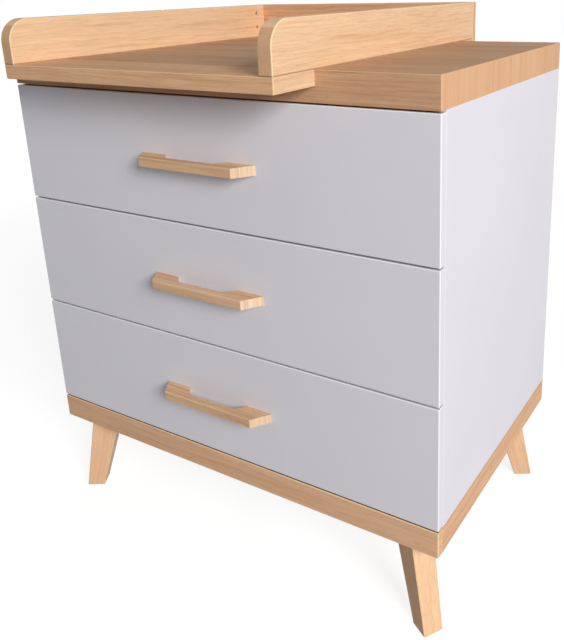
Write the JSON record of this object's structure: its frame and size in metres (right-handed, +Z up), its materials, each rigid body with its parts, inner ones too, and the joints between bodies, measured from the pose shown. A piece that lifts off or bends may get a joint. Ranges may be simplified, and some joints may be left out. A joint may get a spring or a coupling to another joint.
{
  "type": "changing dresser",
  "caption": "Nursery chest with full-width drawers on splayed tapered legs, and an open-fronted changing top with low walls fixed across its slab.",
  "frame": {"origin": "on the floor, under the middle of the cabinet's width and the middle of the changing top's depth", "axes": "+Z up; -Y is the front, towards which the drawers open; +X is the right-hand side seen from the front"},
  "size_m": [0.91, 0.73, 1.05],
  "materials": {
    "oak_board": "oak-look printed laminate on chipboard, satin, with fine grain along the board",
    "solid_oak": "solid light oak, clear lacquer, satin",
    "white_board": "white melamine-faced chipboard, satin, very finely textured",
    "white_hardboard": "white-faced hardboard, satin",
    "plain_softwood": "planed softwood or beech, unfinished",
    "zinc_steel": "zinc-plated steel, satin",
    "glide_plastic": "dark moulded plastic, matte"
  },
  "bodies": {
    "cabinet": {"back_panel": "white_hardboard", "bottom_panel": "white_board", "cabinet_rails": "zinc_steel", "carcass_cams": "zinc_steel", "carcass_dowels": "plain_softwood", "foot_glides": "glide_plastic", "leg_bolts": "zinc_steel", "leg_front_left": "solid_oak", "leg_front_right": "solid_oak", "leg_rear_left": "solid_oak", "leg_rear_right": "solid_oak", "plinth_cleats": "plain_softwood", "plinth_front": "oak_board", "plinth_rear": "oak_board", "plinth_side_left": "oak_board", "plinth_side_right": "oak_board", "side_panel_left": "white_board", "side_panel_right": "white_board", "top_slab": "oak_board", "tray_back_wall": "oak_board", "tray_barrel_nuts": "zinc_steel", "tray_bolts": "zinc_steel", "tray_bracket_screws": "zinc_steel", "tray_brackets": "zinc_steel", "tray_front_board": "oak_board", "tray_rear_board": "oak_board", "tray_screws": "zinc_steel", "tray_wall_left": "oak_board", "tray_wall_right": "oak_board"},
    "drawer_1": {"drawer_1_back": "white_board", "drawer_1_bottom": "white_hardboard", "drawer_1_cams": "zinc_steel", "drawer_1_front": "white_board", "drawer_1_handle": "solid_oak", "drawer_1_handle_screws": "zinc_steel", "drawer_1_rails": "zinc_steel", "drawer_1_side_left": "white_board", "drawer_1_side_right": "white_board"},
    "drawer_2": {"drawer_2_back": "white_board", "drawer_2_bottom": "white_hardboard", "drawer_2_cams": "zinc_steel", "drawer_2_front": "white_board", "drawer_2_handle": "solid_oak", "drawer_2_handle_screws": "zinc_steel", "drawer_2_rails": "zinc_steel", "drawer_2_side_left": "white_board", "drawer_2_side_right": "white_board"},
    "drawer_3": {"drawer_3_back": "white_board", "drawer_3_bottom": "white_hardboard", "drawer_3_cams": "zinc_steel", "drawer_3_front": "white_board", "drawer_3_handle": "solid_oak", "drawer_3_handle_screws": "zinc_steel", "drawer_3_rails": "zinc_steel", "drawer_3_side_left": "white_board", "drawer_3_side_right": "white_board"},
    "runner_1": {"middle_rails_1": "zinc_steel"},
    "runner_2": {"middle_rails_2": "zinc_steel"},
    "runner_3": {"middle_rails_3": "zinc_steel"}
  },
  "joints": [
    {"name": "drawer_1_slide", "type": "slide", "parent": "cabinet", "child": "drawer_1", "axis": [0, -1, 0], "range_m": [0, 0.45]},
    {"name": "runner_1_slide", "type": "slide", "parent": "cabinet", "child": "runner_1", "axis": [0, -1, 0], "range_m": [0, 0.225]},
    {"name": "drawer_2_slide", "type": "slide", "parent": "cabinet", "child": "drawer_2", "axis": [0, -1, 0], "range_m": [0, 0.45]},
    {"name": "runner_2_slide", "type": "slide", "parent": "cabinet", "child": "runner_2", "axis": [0, -1, 0], "range_m": [0, 0.225]},
    {"name": "drawer_3_slide", "type": "slide", "parent": "cabinet", "child": "drawer_3", "axis": [0, -1, 0], "range_m": [0, 0.45]},
    {"name": "runner_3_slide", "type": "slide", "parent": "cabinet", "child": "runner_3", "axis": [0, -1, 0], "range_m": [0, 0.225]}
  ],
  "couplings": [
    {"joint": "runner_1_slide", "follows": "drawer_1_slide", "ratio": 0.5},
    {"joint": "runner_2_slide", "follows": "drawer_2_slide", "ratio": 0.5},
    {"joint": "runner_3_slide", "follows": "drawer_3_slide", "ratio": 0.5}
  ]
}
